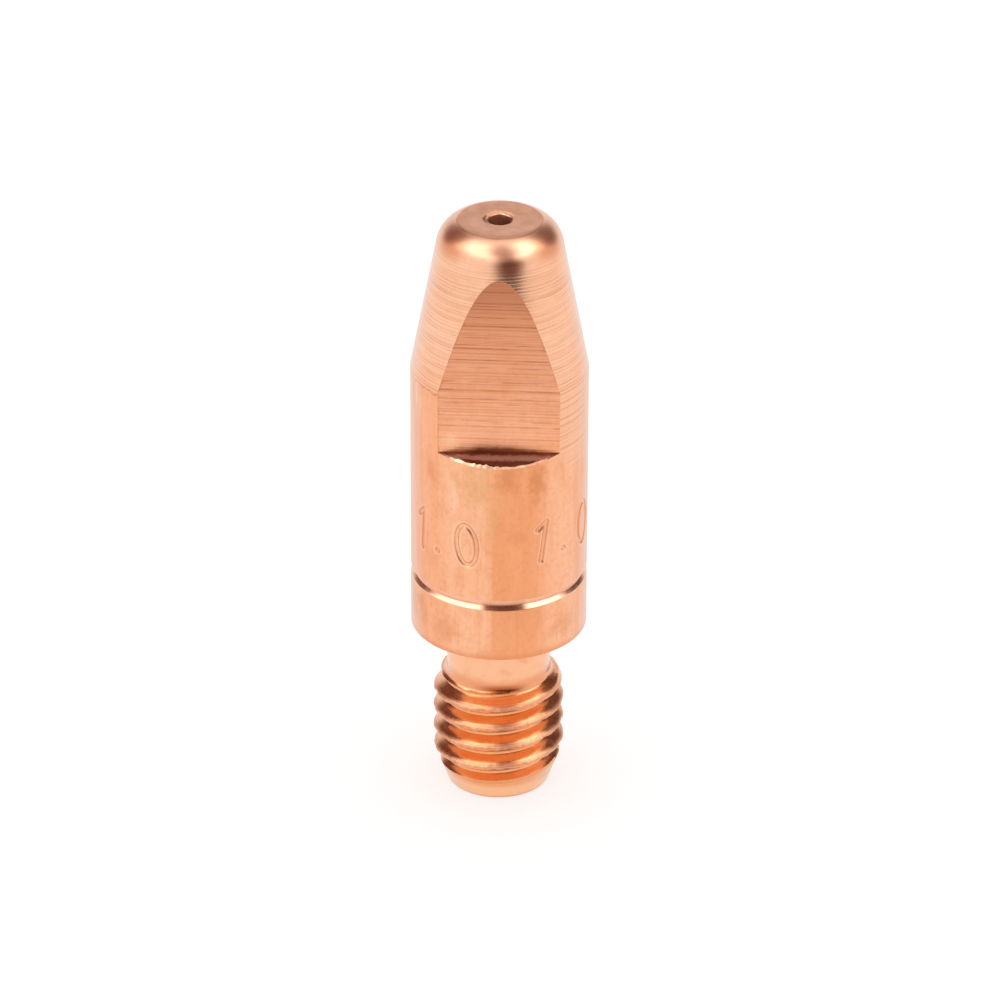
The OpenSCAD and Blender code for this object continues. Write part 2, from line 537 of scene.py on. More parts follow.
def stroke_distance(across, up, stroke):
    """Distance of many points to one stroke."""
    nearest = np.full(across.shape, np.inf)
    for (x0, y0), (x1, y1) in zip(stroke, stroke[1:]):
        length = (x1 - x0) ** 2 + (y1 - y0) ** 2
        along = np.clip(((across - x0) * (x1 - x0) + (up - y0) * (y1 - y0)) / length, 0, 1)
        nearest = np.minimum(nearest, np.hypot(across - x0 - along * (x1 - x0), up - y0 - along * (y1 - y0)))
    return nearest


def figure_places(points):
    """For each figure: the unrolled places of the points about it."""
    turn = np.degrees(np.arctan2(points[:, 0], -points[:, 1]))
    for name, angle, rise, lean in STAMPS:
        across = np.radians(turn - angle) * BODY_R
        up = points[:, 2] - STAMP_Z - rise
        lean = math.radians(lean)
        cosine, sine = math.cos(lean), math.sin(lean)
        yield name, across * cosine - up * sine, across * sine + up * cosine


def near_a_figure(at):
    """Whether a face lies under a figure or close to it."""
    if not STAMP_LOW < at.z < STAMP_HIGH or at.y > 0:
        return False
    centre = np.array([[at.x, at.y, at.z]])
    for name, across, up in figure_places(centre):
        wide, high = (POINT_HALF,) * 2 if name == "point" else (FIGURE_WIDTH / 2, FIGURE_HEIGHT / 2)
        if abs(across[0]) < wide + STAMP_MARGIN and abs(up[0]) < high + STAMP_MARGIN:
            return True
    return False


print("figures:", [stamped[0] for stamped in STAMPS])

# %% Punch the figures
pick(tip, "FACE", near_a_figure)
bpy.ops.mesh.subdivide(number_cuts=1)
leave_edit()

points = read_points(tip)
radius = np.hypot(points[:, 0], points[:, 1])
from_stamp = np.abs(points[:, 2] - STAMP_Z) - (STAMP_HIGH - STAMP_LOW) / 2
on_body = (np.abs(radius - BODY_R) < 10 * NEAR) & (from_stamp < 0.3)
press = np.zeros(len(points))
for name, across, up in figure_places(points):
    for stroke in figure_strokes(name):
        away = stroke_distance(across[on_body], up[on_body], stroke)
        groove = np.clip((STROKE_HALF - away) / STROKE_RAMP, 0, 1)
        swell = np.exp(-(((away - STROKE_HALF - 0.05) / 0.04) ** 2))
        press[on_body] += STROKE_SWELL * swell - STROKE_DEPTH * groove * groove * (3 - 2 * groove)
points[on_body, :2] *= ((BODY_R + press[on_body]) / radius[on_body])[:, None]
write_points(tip, points)
stamp = tip.data.attributes.new("stamp", "FLOAT", "POINT")
stamp.data.foreach_set("value", (-press / STROKE_DEPTH).astype(np.float32))
print("stamped:", len(tip.data.polygons), "faces, deepest", round(float(press.min()), 3))

# %% [markdown]
# ## Node helpers
# Every finish below is made of shader nodes. These few helpers place a node in the tree that was opened
# last, wire it and give back its output. They also keep the colour so far, over which a finish lays one
# shade after another, so that it reads as a short recipe.

# %% Helpers for shader nodes
NUMBER, VECTOR, COLOUR = "NodeSocketFloat", "NodeSocketVector", "NodeSocketColor"
opened = {}


def open_tree(tree):
    """The helpers below add their nodes to this tree until another one is opened."""
    opened["tree"] = tree
    return tree


def wire(value, socket):
    """Links another node's output to a socket, or writes a plain value on it. Colours come without alpha."""
    if isinstance(value, bpy.types.NodeSocket):
        opened["tree"].links.new(value, socket)
    elif socket.type == "RGBA":
        socket.default_value = (*value, 1.0)
    else:
        socket.default_value = value


def add(kind, inputs=None, **settings):
    """A new node with its settings and inputs."""
    made = opened["tree"].nodes.new(kind)
    for name, value in settings.items():
        setattr(made, name, value)
    for name, value in (inputs or {}).items():
        wire(value, made.inputs[name])
    return made


def maths(operation, first, second=0.0, third=0.0):
    return add("ShaderNodeMath", {0: first, 1: second, 2: third}, operation=operation).outputs[0]


def times(first, second):
    return maths("MULTIPLY", first, second)


def times_plus(first, second, third):
    return maths("MULTIPLY_ADD", first, second, third)


def less(first, second):
    return maths("SUBTRACT", first, second)


def gap(first, second):
    """How far two values lie apart."""
    return maths("ABSOLUTE", less(first, second))


def diagonal(across, up):
    return maths("SQRT", maths("ADD", times(across, across), times(up, up)))


def fade(value, start, end, low=0.0, high=1.0):
    """Low before start, high after end, smooth between."""
    inputs = {"Value": value, "From Min": start, "From Max": end, "To Min": low, "To Max": high}
    return add("ShaderNodeMapRange", inputs, interpolation_type="SMOOTHSTEP").outputs["Result"]


def stretch(place, x, y, z):
    return add("ShaderNodeVectorMath", {0: place, 1: (x, y, z)}, operation="MULTIPLY").outputs[0]


def length_of(vector):
    return add("ShaderNodeVectorMath", {0: vector}, operation="LENGTH").outputs["Value"]


def cloud(place, scale, detail=2.0, roughness=0.5):
    """Noise in space, from 0 to 1."""
    inputs = {"Vector": place, "Scale": scale, "Detail": detail, "Roughness": roughness}
    return add("ShaderNodeTexNoise", inputs).outputs[0]


def line_noise(along, detail=2.0, roughness=0.5):
    """Noise along a line, from 0 to 1."""
    inputs = {"W": along, "Scale": 1.0, "Detail": detail, "Roughness": roughness}
    return add("ShaderNodeTexNoise", inputs, noise_dimensions="1D").outputs[0]


def base(colour):
    opened["colour"] = colour


def lay(shade, mask, share=None):
    """Lays a shade over the colour so far where the mask is one, as strongly as the share says."""
    strength = mask if share is None else times(mask, share)
    base(add("ShaderNodeMix", {0: strength, 6: opened["colour"], 7: shade}, data_type="RGBA").outputs[2])


def new_group(name, inputs, outputs):
    """An empty shader node group with its named sockets, opened for its nodes."""
    group = open_tree(bpy.data.node_groups.new(name, "ShaderNodeTree"))
    for way, sockets in (("INPUT", inputs), ("OUTPUT", outputs)):
        for socket, kind in sockets.items():
            group.interface.new_socket(socket, in_out=way, socket_type=kind)
    return group, group.nodes.new("NodeGroupInput").outputs, group.nodes.new("NodeGroupOutput").inputs


def use_group(group, inputs=None):
    return add("ShaderNodeGroup", inputs, node_tree=group).outputs


print("node helpers ready")

# %% [markdown]
# ## Shared effects
# Four node groups serve all the finishes. One gives places in millimetres, with the height, the distance
# from the axis and the angle round it. One gives the uneven lines that a cutting edge leaves. One gives the
# colour of bare copper, which drifts, is mottled and has fine pits. One gives a soft, broken patch at a
# chosen place.

# %% Shared node groups
BROWN, GROOVE_SHADE, RUDDY = (0.60, 0.25, 0.115), (0.30, 0.11, 0.05), (0.80, 0.29, 0.125)
SPECKLE, PITTED = (0.76, 0.26, 0.11), (0.48, 0.14, 0.05)
SMUDGE_PARTS = ("Place", "Turn", "Height", "Angle", "Level", "Half angle", "Half height")


def make_place_group():
    parts = {"Place": VECTOR, "Height": NUMBER, "Radius": NUMBER, "Turn": NUMBER, "Across": NUMBER}
    group, _, outputs = new_group("place_in_mm", {}, parts)
    position = add("ShaderNodeTexCoord").outputs["Object"]
    place = add("ShaderNodeVectorMath", {0: position, "Scale": PER_METRE}, operation="SCALE").outputs[0]
    x, y, z = add("ShaderNodeSeparateXYZ", {0: place}).outputs
    turn = times(maths("ARCTAN2", x, times(y, -1.0)), math.degrees(1))
    for name, value in zip(parts, (place, z, diagonal(x, y), turn, x)):
        wire(value, outputs[name])
    return group


def make_tool_lines():
    group, inputs, outputs = new_group("tool_lines", {"Along": NUMBER, "Pitch": NUMBER},
                                       {"Ridge": NUMBER, "Line": NUMBER, "Deep": NUMBER})
    steps = maths("DIVIDE", inputs["Along"], inputs["Pitch"])
    fine = line_noise(steps, 1.0)
    coarse = line_noise(times_plus(steps, 0.23, 51.7), 2.0)
    deep = line_noise(times_plus(steps, 0.55, 17.3), 1.0, 0.6)
    wire(times_plus(coarse, 0.25, times(fine, 0.75)), outputs["Ridge"])
    wire(fade(fine, 0.50, 0.62), outputs["Line"])
    wire(fade(deep, 0.58, 0.66), outputs["Deep"])
    return group


def make_copper_tone():
    parts = {"Place": VECTOR, "Pale": COLOUR, "Warm": COLOUR, "Stain": NUMBER}
    group, inputs, outputs = new_group("copper_tone", parts, {"Colour": COLOUR, "Mottle": NUMBER})
    place, stain = inputs["Place"], inputs["Stain"]
    drift = cloud(place, 0.35, 3.0)
    blotch = cloud(stretch(place, 1.0, 1.0, 0.45), 1.0, 5.0, 0.6)
    mottle = cloud(place, 4.5, 5.0, 0.65)
    pits = cloud(place, 7.0, 3.0)
    base(inputs["Warm"])
    lay(inputs["Pale"], fade(drift, 0.35, 0.65))
    lay(RUDDY, fade(blotch, 0.48, 0.72), stain)
    lay(SPECKLE, fade(mottle, 0.46, 0.75), stain)
    lay(PITTED, fade(pits, 0.70, 0.80, 0.0, 0.7), stain)
    wire(opened["colour"], outputs["Colour"])
    wire(mottle, outputs["Mottle"])
    return group


def from_middle(turn, height, angle, level, half_angle, half_height):
    """Distance from the middle of an oval patch, which is one at its border."""
    across = maths("DIVIDE", less(turn, angle), half_angle)
    up = maths("DIVIDE", less(height, level), half_height)
    return diagonal(across, up)


def make_smudge():
    parts = {name: VECTOR if name == "Place" else NUMBER for name in SMUDGE_PARTS}
    group, inputs, outputs = new_group("smudge", parts, {"Mask": NUMBER})
    away = from_middle(*(inputs[name] for name in SMUDGE_PARTS[1:]))
    torn = cloud(inputs["Place"], 2.0, 5.0, 0.65)
    away = times_plus(torn, 2.0, less(away, 1.0))
    wire(fade(away, 0.2, 1.1, 1.0, 0.0), outputs["Mask"])
    return group


place_group = make_place_group()
tool_lines = make_tool_lines()
copper_tone = make_copper_tone()
smudge_group = make_smudge()
print("groups:", [group.name for group in bpy.data.node_groups])

# %% [markdown]
# ## Finishes
# Copper is a metal, so Metallic is 1 and the base colour is the colour of its reflections. What tells the
# finishes apart is how each surface was made: drawn, turned, faced, milled, torn, burred or threaded. Seen
# at a low angle, the copper is painted paler and less orange: a painted grazing sheen together with the thin
# tarnish on the rod, which a Layer Weight node gives. Painted images could show all this too. Noise nodes
# need no file and stay sharp from close by. A place on the tip is an angle round the axis in degrees, zero at
# the front, and a height. A patch also has half its angle and half its height.

# %% What the finishes share
GRAZING_SHEEN_AND_TARNISH = (0.80, 0.55, 0.45)


def places(*parts):
    """The parts of a place that a recipe asks for."""
    where = use_group(place_group)
    return [where[part] for part in parts]


def bare_copper(place, pale, warm, stain):
    """Starts from the colour of bare copper between two shades, and gives its mottle."""
    tone = use_group(copper_tone, {"Place": place, "Pale": pale, "Warm": warm, "Stain": stain})
    base(tone["Colour"])
    return tone["Mottle"]


def lines_at(along, pitch):
    return use_group(tool_lines, {"Along": along, "Pitch": pitch})


def smudge(*place_and_patch):
    """A patch that is broken up by noise, from the place, its angle and height, and the patch."""
    return use_group(smudge_group, dict(zip(SMUDGE_PARTS, place_and_patch)))["Mask"]


def oval(turn, height, *patch):
    """A soft oval patch, one in its middle and zero at its border."""
    return fade(from_middle(turn, height, *patch), 0.2, 1.0, 1.0, 0.0)


# Painted grazing sheen together with the thin tarnish: the copper is laid paler and less orange where it is
# seen at a low angle.
def paint_grazing_sheen_and_tarnish():
    facing = add("ShaderNodeLayerWeight", {"Blend": 0.5}).outputs["Facing"]
    lay(GRAZING_SHEEN_AND_TARNISH, fade(facing, 0.40, 0.95, 0.0, 0.75))


def finish(roughness, bump, micrometres):
    """Wires a metal finish: the bump is a height from 0 to 1, as deep as the given micrometres."""
    shader = opened["tree"].nodes["Principled BSDF"].inputs
    normal = add("ShaderNodeBump", {"Strength": 1.0, "Distance": micrometres * 1e-6, "Height": bump})
    wire(opened["colour"], shader["Base Color"])
    wire(1.0, shader["Metallic"])
    wire(roughness, shader["Roughness"])
    wire(normal.outputs[0], shader["Normal"])


print("a finish wires colour, roughness and bump")

# %% [markdown]
# ### Drawn rod
# Drawing leaves streaks along the rod, so its noise is stretched upwards. Broad bands of painted reflection
# run up the body, with pale, golden and stained patches; one pale patch carries the left band of painted
# reflection higher up. The turning tool has skimmed its upper right, above a slanting line, and on the left
# the turned nose ends at a wavy edge.

# %% Drawn copper
DRAWN_LIGHT, DRAWN_DARK, SKIMMED = (0.95, 0.45, 0.25), (0.92, 0.40, 0.20), (0.95, 0.52, 0.33)
STROKE_WALL_SHADE, STROKE_BORDER_HIGHLIGHT = (0.56, 0.22, 0.12), (1.0, 0.66, 0.47)
# Broad bands of painted reflection by the angle round the axis: shade, start, full, last and end.
REFLECTION_BANDS = (((0.98, 0.53, 0.32), -50, -32, -16, 2), ((0.90, 0.365, 0.165), -14, 6, 20, 36),
         ((0.97, 0.525, 0.32), 26, 40, 50, 66))
PALE_PATCH, GOLDEN, STAINED = (1.0, 0.66, 0.48), (0.82, 0.43, 0.205), (0.68, 0.245, 0.092)
# Patches: shade, angle, height, half angle, half height and share. The pale patch at -30 degrees carries the
# left band of painted reflection higher up.
PATCHES = (
    (PALE_PATCH, -67, 20.1, 1.8, 1.0, 0.8), (PALE_PATCH, -61, 19.9, 1.2, 0.9, 0.6), (PALE_PATCH, -30, 16.3, 6, 1.2, 0.4),
    (GOLDEN, -15, 16.7, 17, 1.5, 0.8), (GOLDEN, -4, 15.4, 7, 1.6, 0.5), (GOLDEN, 3, 9.3, 14, 0.7, 0.2),
    (STAINED, 26, 16.8, 8, 1.3, 0.7), (STAINED, 6, 17.1, 10, 0.8, 0.6), (STAINED, 27, 10.0, 5, 0.8, 0.2),
    (STAINED, 11, 14.2, 9, 0.5, 0.2), (STAINED, -72, 19.9, 3, 0.9, 0.5), (STAINED, -62, 9.9, 6, 0.45, 0.6),
    (STAINED, -50, 17.0, 5, 0.6, 0.3), (STAINED, 38, 9.2, 6, 0.5, 0.2), (STAINED, -38, 9.3, 14, 1.0, 0.4),
    (STAINED, -60, 9.5, 9, 1.0, 0.4), (STAINED, 48, 9.4, 11, 1.0, 0.35), (STAINED, -74, 9.6, 10, 1.0, 0.6),
)


def drawn_copper():
    place, height, turn = places("Place", "Height", "Turn")
    drag = cloud(stretch(place, 2.6, 2.6, 0.10), 1.0, 3.0, 0.6)
    fine = cloud(stretch(place, 12.0, 12.0, 0.8), 1.0, 2.0)
    base(DRAWN_LIGHT)
    lay(DRAWN_DARK, fade(drag, 0.35, 0.65))
    ragged_turn = times_plus(less(drag, 0.5), 30.0, turn)
    # Painted reflection, laid as broad bands round the body.
    for shade, start, full, last, end in REFLECTION_BANDS:
        reflection_band = times(fade(ragged_turn, start, full), fade(ragged_turn, last, end, 0.7, 0.0))
        lay(shade, reflection_band)
    for shade, *patch, share in PATCHES:
        lay(shade, smudge(place, turn, height, *patch), share)
    at_seat = fade(height, SEAT_Z + 0.05, SEAT_Z + 0.40, 0.7, 0.0)
    lay(RUDDY, at_seat)
    mottle = bare_copper(place, opened["colour"], opened["colour"], stain=0.38)
    lay(RUDDY, fade(fine, 0.50, 0.80, 0.0, 0.30))
    lines = lines_at(height, pitch=0.16)
    skimmed_to = fade(turn, 15.0, 55.0, NOSE_Z, NOSE_Z - 4.2)
    skimmed = fade(less(height, skimmed_to), 0.0, 0.8)
    lay(SKIMMED, skimmed, 0.7)
    marks = times(times_plus(lines["Deep"], 0.3, 0.4), lines["Line"])
    lay(BROWN, marks, skimmed)
    wander = cloud(stretch(place, 3.0, 3.0, 0.0), 1.0, 3.0)
    wavy_edge = gap(height, times_plus(wander, 0.7, NOSE_Z - 0.45))
    on_left = fade(turn, -40.0, -20.0, 1.0, 0.0)
    lay(BROWN, fade(wavy_edge, 0.015, 0.07, 0.7, 0.0), on_left)
    pressed = add("ShaderNodeAttribute", attribute_name="stamp").outputs["Fac"]
    # Painted shade on the walls of the stamped strokes, and a painted highlight on their raised borders.
    lay(STROKE_WALL_SHADE, fade(gap(pressed, 0.55), 0.15, 0.50, 0.6, 0.0))
    lay(STROKE_BORDER_HIGHLIGHT, fade(pressed, -0.05, -0.30, 0.0, 0.4))
    roughness = fade(drag, 0.3, 0.7, 0.30, 0.38)
    bump = times_plus(fine, 0.3, times(mottle, 0.5))
    bump = times_plus(times(lines["Ridge"], skimmed), 0.9, bump)
    paint_grazing_sheen_and_tarnish()
    finish(roughness, bump, micrometres=5.0)


print("drawn rod:", len(REFLECTION_BANDS), "bands and", len(PATCHES), "patches")

# %% [markdown]
# ### Turned nose and its face
# The tool leaves one even wave for each turn of its feed, with uneven lines over it. A sine of the height
# draws the wave, because modelled grooves would double the mesh. Both stop at the smooth crown, which has a
# painted dark reflection over the flat and one at each side. The face is duller, with a painted shade in the
# dent left of the bore. Its rim stands further forward in the picture than in the solid, so the crown carries
# a crescent of it.

# %% Turned and faced copper
FEED = 0.15
FACE_SHIFT, FACE_GROW = 0.12, 0.06
TURNED_PALE, TURNED_WARM, TURNED_LOW = (0.98, 0.575, 0.385), (0.97, 0.53, 0.33), (0.93, 0.45, 0.26)
FEED_MARK, CROWN_DARK_REFLECTION, CROWN_SIDE_DARK_REFLECTION = (0.66, 0.27, 0.15), (0.40, 0.11, 0.05), (0.74, 0.28, 0.14)
CRESCENT, CRESCENT_EDGE = (0.665, 0.333, 0.215), (0.50, 0.21, 0.11)
FACED_PALE, FACED_DULL, FACED_DENT_SHADE = (0.71, 0.365, 0.24), (0.62, 0.30, 0.19), (0.33, 0.19, 0.14)


def turned_copper():
    place, height, turn = places("Place", "Height", "Turn")
    bare_copper(place, TURNED_PALE, TURNED_WARM, stain=0.14)
    along = times_plus(cloud(place, 0.5), 0.10, height)
    lines = lines_at(along, pitch=0.11)
    wave = maths("SINE", times(along, 2 * math.pi / FEED))
    crown_z = flank_end[1]
    on_cone = fade(height, crown_z - 0.7, crown_z + 0.05, 1.0, 0.10)
    lined = fade(height, crown_z - 0.2, crown_z + 0.25, 1.0, 0.10)
    patchy = cloud(stretch(place, 0.6, 0.6, 2.5), 1.0, 3.0)
    patchy = times(fade(patchy, 0.3, 0.65, 0.2, 1.0), lined)
    lay(TURNED_LOW, fade(height, NOSE_Z, NOSE_Z + 2.5, 0.4, 0.0))
    marks = times_plus(fade(wave, 0.0, 1.0), 0.40, times(lines["Line"], 0.35))
    lay(FEED_MARK, marks, patchy)
    lay(BROWN, times(lines["Deep"], 0.22), lined)
    # Painted dark reflections on the crown: one over the flat and one at each side.
    lay(CROWN_DARK_REFLECTION, oval(turn, height, 9.5, crown_z, 18.0, 0.65), 0.85)
    for angle in (-56.0, 56.0):
        lay(CROWN_SIDE_DARK_REFLECTION, oval(turn, height, angle, LENGTH - 0.65, 32.0, 0.80), 0.8)
    paint_grazing_sheen_and_tarnish()
    moved = add("ShaderNodeVectorMath", {0: place, 1: (0.0, FACE_SHIFT, 0.0)}).outputs[0]
    out = less(length_of(stretch(moved, 1.0, 1.0, 0.0)), FACE_R + FACE_GROW)
    lay(CRESCENT, fade(out, -0.03, 0.02, 0.9, 0.0))
    edge = fade(maths("ABSOLUTE", out), 0.01, 0.06, 0.7, 0.0)
    broken = fade(cloud(place, 1.5, 4.0), 0.3, 0.65, 0.2, 1.0)
    lay(CRESCENT_EDGE, edge, broken)
    roughness = fade(on_cone, 0.1, 1.0, 0.33, 0.26)
    bump = times(times_plus(wave, 0.18, lines["Ridge"]), on_cone)
    finish(roughness, bump, micrometres=9.0)


def faced_copper():
    place, radius, turn = places("Place", "Radius", "Turn")
    lines = lines_at(radius, pitch=0.07)
    patch = cloud(place, 1.5, 4.0)
    base(FACED_PALE)
    lay(FACED_DULL, fade(patch, 0.3, 0.7))
    lay(BROWN, lines["Line"], 0.25)
    # Painted shade in the dent left of the bore.
    at_left = fade(gap(turn, -80.0), 15.0, 55.0, 0.7, 0.0)
    by_bore = fade(radius, BORE_R + 0.08, BORE_R + 0.30, 1.0, 0.0)
    lay(FACED_DENT_SHADE, at_left, by_bore)
    roughness = fade(patch, 0.3, 0.7, 0.34, 0.42)
    finish(roughness, lines["Ridge"], micrometres=5.0)


print("turned nose: one wave every", FEED, "mm")

# %% [markdown]
# ### Milled flats and their ledges
# The cutter leaves slanting lines across the flat, with four sets of broken scratches over them. All of it
# is noise in the material, because it is too fine to model. The flat darkens towards its top, and a painted
# dark reflection of the ledge stands over it as an arch. A torn line follows its border, which is worked out
# from the taper. The ledge is torn and dark, and its burr is bright.

# %% Milled, torn and burred copper
MILLED_PALE, MILLED_WARM = (0.98, 0.475, 0.275), (0.95, 0.42, 0.22)
MILLED_HIGH, MILLED_TOP, LEDGE_DARK_REFLECTION = (0.60, 0.235, 0.12), (0.47, 0.18, 0.095), (0.38, 0.10, 0.04)
MILL_MARK, SCRATCH = (0.60, 0.16, 0.06), (0.30, 0.05, 0.015)
FLAT_EDGE, FLAT_RUBBED = (0.56, 0.19, 0.075), (1.0, 0.60, 0.36)
TORN_INNER, TORN_MIDDLE, TORN_OUTER = (0.28, 0.11, 0.07), (0.52, 0.36, 0.30), (0.19, 0.07, 0.04)
BURR_PALE, BURR_RUDDY, BURR_GOLDEN = (0.96, 0.61, 0.42), (0.84, 0.41, 0.235), (0.92, 0.47, 0.22)
SCRATCH_SETS = ((0.0, 0.030, 0.38), (31.0, 0.022, 0.30), (67.0, 0.040, 0.30), (93.0, 0.026, 0.30))


def inside_flat(across, above_nose):
    """Distance from the border of a flat, measured sideways."""
    radius = times_plus(above_nose, -math.tan(math.radians(NOSE_TAPER)), BODY_R)
    half_width = maths("SQRT", maths("MAXIMUM", times_plus(radius, radius, -FLAT_Y**2), 0.0))
    return less(half_width, maths("ABSOLUTE", across))


def milled_copper():
    place, height, turn, across = places("Place", "Height", "Turn", "Across")
    bare_copper(place, MILLED_PALE, MILLED_WARM, stain=0.28)
    lines = lines_at(times_plus(across, 0.03, height), pitch=0.12)
    up = less(height, LEDGE_Z)
    lay(MILLED_HIGH, fade(up, 0.0, 7.5), 0.58)
    lay(MILLED_TOP, fade(up, 5.6, 8.2, 0.0, 0.7))
    clear_marks = fade(up, 0.0, 6.0, 0.6, 1.1)
    lay(MILL_MARK, times(lines["Line"], clear_marks), 0.28)
    for shift, slant, share in SCRATCH_SETS:
        along = times_plus(across, slant, maths("ADD", height, shift))
        scratch = lines_at(along, pitch=0.075)["Deep"]
        part = cloud(stretch(place, 0.8, 1.0, 6.0), 1.0, 3.0)
        part = maths("PINGPONG", maths("ADD", part, shift * 0.11), 1.0)
        part = times(fade(part, 0.40, 0.62, 0.0, share), clear_marks)
        lay(SCRATCH, scratch, part)
    # Painted dark reflection of the ledge: an arch over it on the flat.
    ledge_reflection = times_plus(times(across, across), 0.09, up)
    ledge_reflection = times_plus(cloud(place, 2.0, 5.0, 0.6), 0.35, ledge_reflection)
    lay(LEDGE_DARK_REFLECTION, fade(ledge_reflection, 0.32, 0.58, 0.92, 0.0))
    above_nose = maths("MAXIMUM", less(height, NOSE_Z), 0.0)
    torn = cloud(place, 2.5, 4.0, 0.6)
    edge = fade(times_plus(torn, -0.30, inside_flat(across, above_nose)), -0.16, -0.08, 0.5, 0.0)
    low_right = times(fade(across, 0.0, 0.5), fade(above_nose, 0.0, 1.0, 1.0, 0.0))
    lay(FLAT_EDGE, edge, less(1.0, low_right))
    lay(FLAT_RUBBED, smudge(place, turn, height, -35.0, LEDGE_Z + 0.55, 7.0, 0.40), 0.5)
    patchy = cloud(stretch(place, 0.5, 1.0, 4.0), 1.0, 2.0)
    roughness = fade(patchy, 0.3, 0.7, 0.28, 0.36)
    finish(roughness, lines["Ridge"], micrometres=4.0)


def torn_copper():
    (place,) = places("Place")
    grain = cloud(place, 3.0, 5.0, 0.65)
    y = add("ShaderNodeSeparateXYZ", {0: place}).outputs["Y"]
    out = times_plus(grain, 0.35, less(maths("ABSOLUTE", y), FLAT_Y))
    base(TORN_INNER)
    lay(TORN_MIDDLE, fade(out, 0.25, 0.45))
    lay(TORN_OUTER, fade(out, 0.60, 0.80))
    roughness = fade(grain, 0.3, 0.7, 0.30, 0.42)
    finish(roughness, grain, micrometres=12.0)


def burred_copper():
    place, height = places("Place", "Height")
    grain = cloud(place, 5.0, 4.0, 0.65)
    base(BURR_PALE)
    lay(BURR_RUDDY, fade(grain, 0.4, 0.7))
    at_nose = fade(height, LENGTH - 2.0, LENGTH - 1.0, 0.0, 0.7)
    lay(BURR_GOLDEN, at_nose)
    roughness = fade(grain, 0.3, 0.7, 0.36, 0.46)
    finish(roughness, grain, micrometres=15.0)


print("milled flats:", len(SCRATCH_SETS), "sets of scratches")

# %% [markdown]
# ### Threaded shank
# The flanks of the thread are orange and lined by the tool, and its crests are worn dull and grainy. The
# distance from the axis tells crest from flank, so no faces have to be marked. The neck is paler. The foot is
# painted paler as a reflection of the bright floor, with a painted contact shadow along its bottom edge.
# Between neck and thread lie a painted shade and a band of painted orange reflection. Ring groove and bore
# share this finish: the groove is pale with one place of painted shade, and the bore is dull.

# %% Threaded copper
THREAD_PALE, THREAD_WARM = (0.93, 0.44, 0.21), (0.91, 0.395, 0.165)
CREST_WORN, CREST_GRAIN = (0.80, 0.42, 0.27), (0.58, 0.24, 0.12)
NECK_PALE, RELIEF_SHADE = (0.98, 0.535, 0.325), (0.47, 0.125, 0.04)
FOOT_FLOOR_REFLECTION, FOOT_CONTACT_SHADOW = (1.0, 0.58, 0.34), (0.66, 0.24, 0.10)
GROOVE_PALE, BORE_DULL = (0.97, 0.555, 0.365), (0.70, 0.43, 0.33)


def threaded_copper():
    place, height, radius, turn = places("Place", "Height", "Radius", "Turn")
    mottle = bare_copper(place, THREAD_PALE, THREAD_WARM, stain=0.25)
    tooth = maths("FRACT", times_plus(turn, -PITCH / 360, height))
    lines = lines_at(tooth, pitch=0.07)
    on_thread = fade(height, RELIEF_Z, RELIEF_Z + 0.3, 1.0, 0.0)
    on_shank = fade(height, SEAT_Z, SEAT_Z + 0.2, 1.0, 0.0)
    at_foot = fade(height, PLAIN_FOOT, PLAIN_FOOT + FOOT_FADE, 1.0, 0.0)
    runout_reflection = fade(gap(height, RELIEF_Z + 0.4), 0.05, 0.50, 0.7, 0.0)
    crest = times(fade(radius, THREAD_R - 0.22, THREAD_R - 0.03), on_thread)
    lay(CREST_WORN, crest, 0.75)
    lay(NECK_PALE, less(on_shank, on_thread), 0.8)
    # Painted orange reflection where the neck meets the run-out of the thread.
    lay(RUDDY, runout_reflection)
    blotch = cloud(stretch(place, 1.0, 1.0, 1.2), 1.3, 5.0, 0.6)
    lay(RUDDY, fade(blotch, 0.48, 0.75, 0.0, 0.5))
    lay(BROWN, times(lines["Line"], 0.4), on_thread)
    # Painted reflection of the bright floor: the foot is laid paler.
    lay(FOOT_FLOOR_REFLECTION, at_foot, 0.85)
    # Painted contact shadow along the bottom edge of the foot.
    lay(FOOT_CONTACT_SHADOW, fade(height, 0.02, 0.16, 0.6, 0.0))
    # Painted shade in the front of the relief between neck and thread.
    lay(RELIEF_SHADE, oval(turn, height, 4.0, RELIEF_Z + 0.27, 38.0, 0.32))
    grain = cloud(place, 6.0, 4.0, 0.65)
    lay(CREST_GRAIN, times(fade(grain, 0.48, 0.66), crest), 0.45)
    off_shank = less(1.0, on_shank)
    lay(GROOVE_PALE, off_shank)
    low_flank = fade(height, GROOVE_Z, GROOVE_Z + 0.05, 1.0, 0.15)
    dark = times(fade(gap(turn, 4.0), 11.0, 17.0, 0.9, 0.0), low_flank)
    # Painted shade in the front of the ring groove, on its lower flank.
    lay(GROOVE_SHADE, dark, off_shank)
    in_bore = fade(radius, BORE_R + 0.03, BORE_R + 0.10, 0.5, 0.0)
    lay(BORE_DULL, in_bore)
    roughness = times_plus(crest, 0.22, fade(mottle, 0.3, 0.7, 0.19, 0.27))
    roughness = times_plus(in_bore, 0.25, roughness)
    bump = times_plus(times(grain, crest), 3.0, lines["Ridge"])
    paint_grazing_sheen_and_tarnish()
    finish(roughness, bump, micrometres=2.0)


recipes = (drawn_copper, turned_copper, faced_copper, milled_copper, torn_copper, burred_copper,
           threaded_copper)
DRAWN, TURNED, FACED, MILLED, TORN, BURRED, THREADED = range(len(recipes))
finishes = []
for recipe in recipes:
    material = bpy.data.materials.new(recipe.__name__)
    material.use_nodes = True
    open_tree(material.node_tree)
    recipe()
    finishes.append(material)
print("finishes:", [material.name for material in finishes])

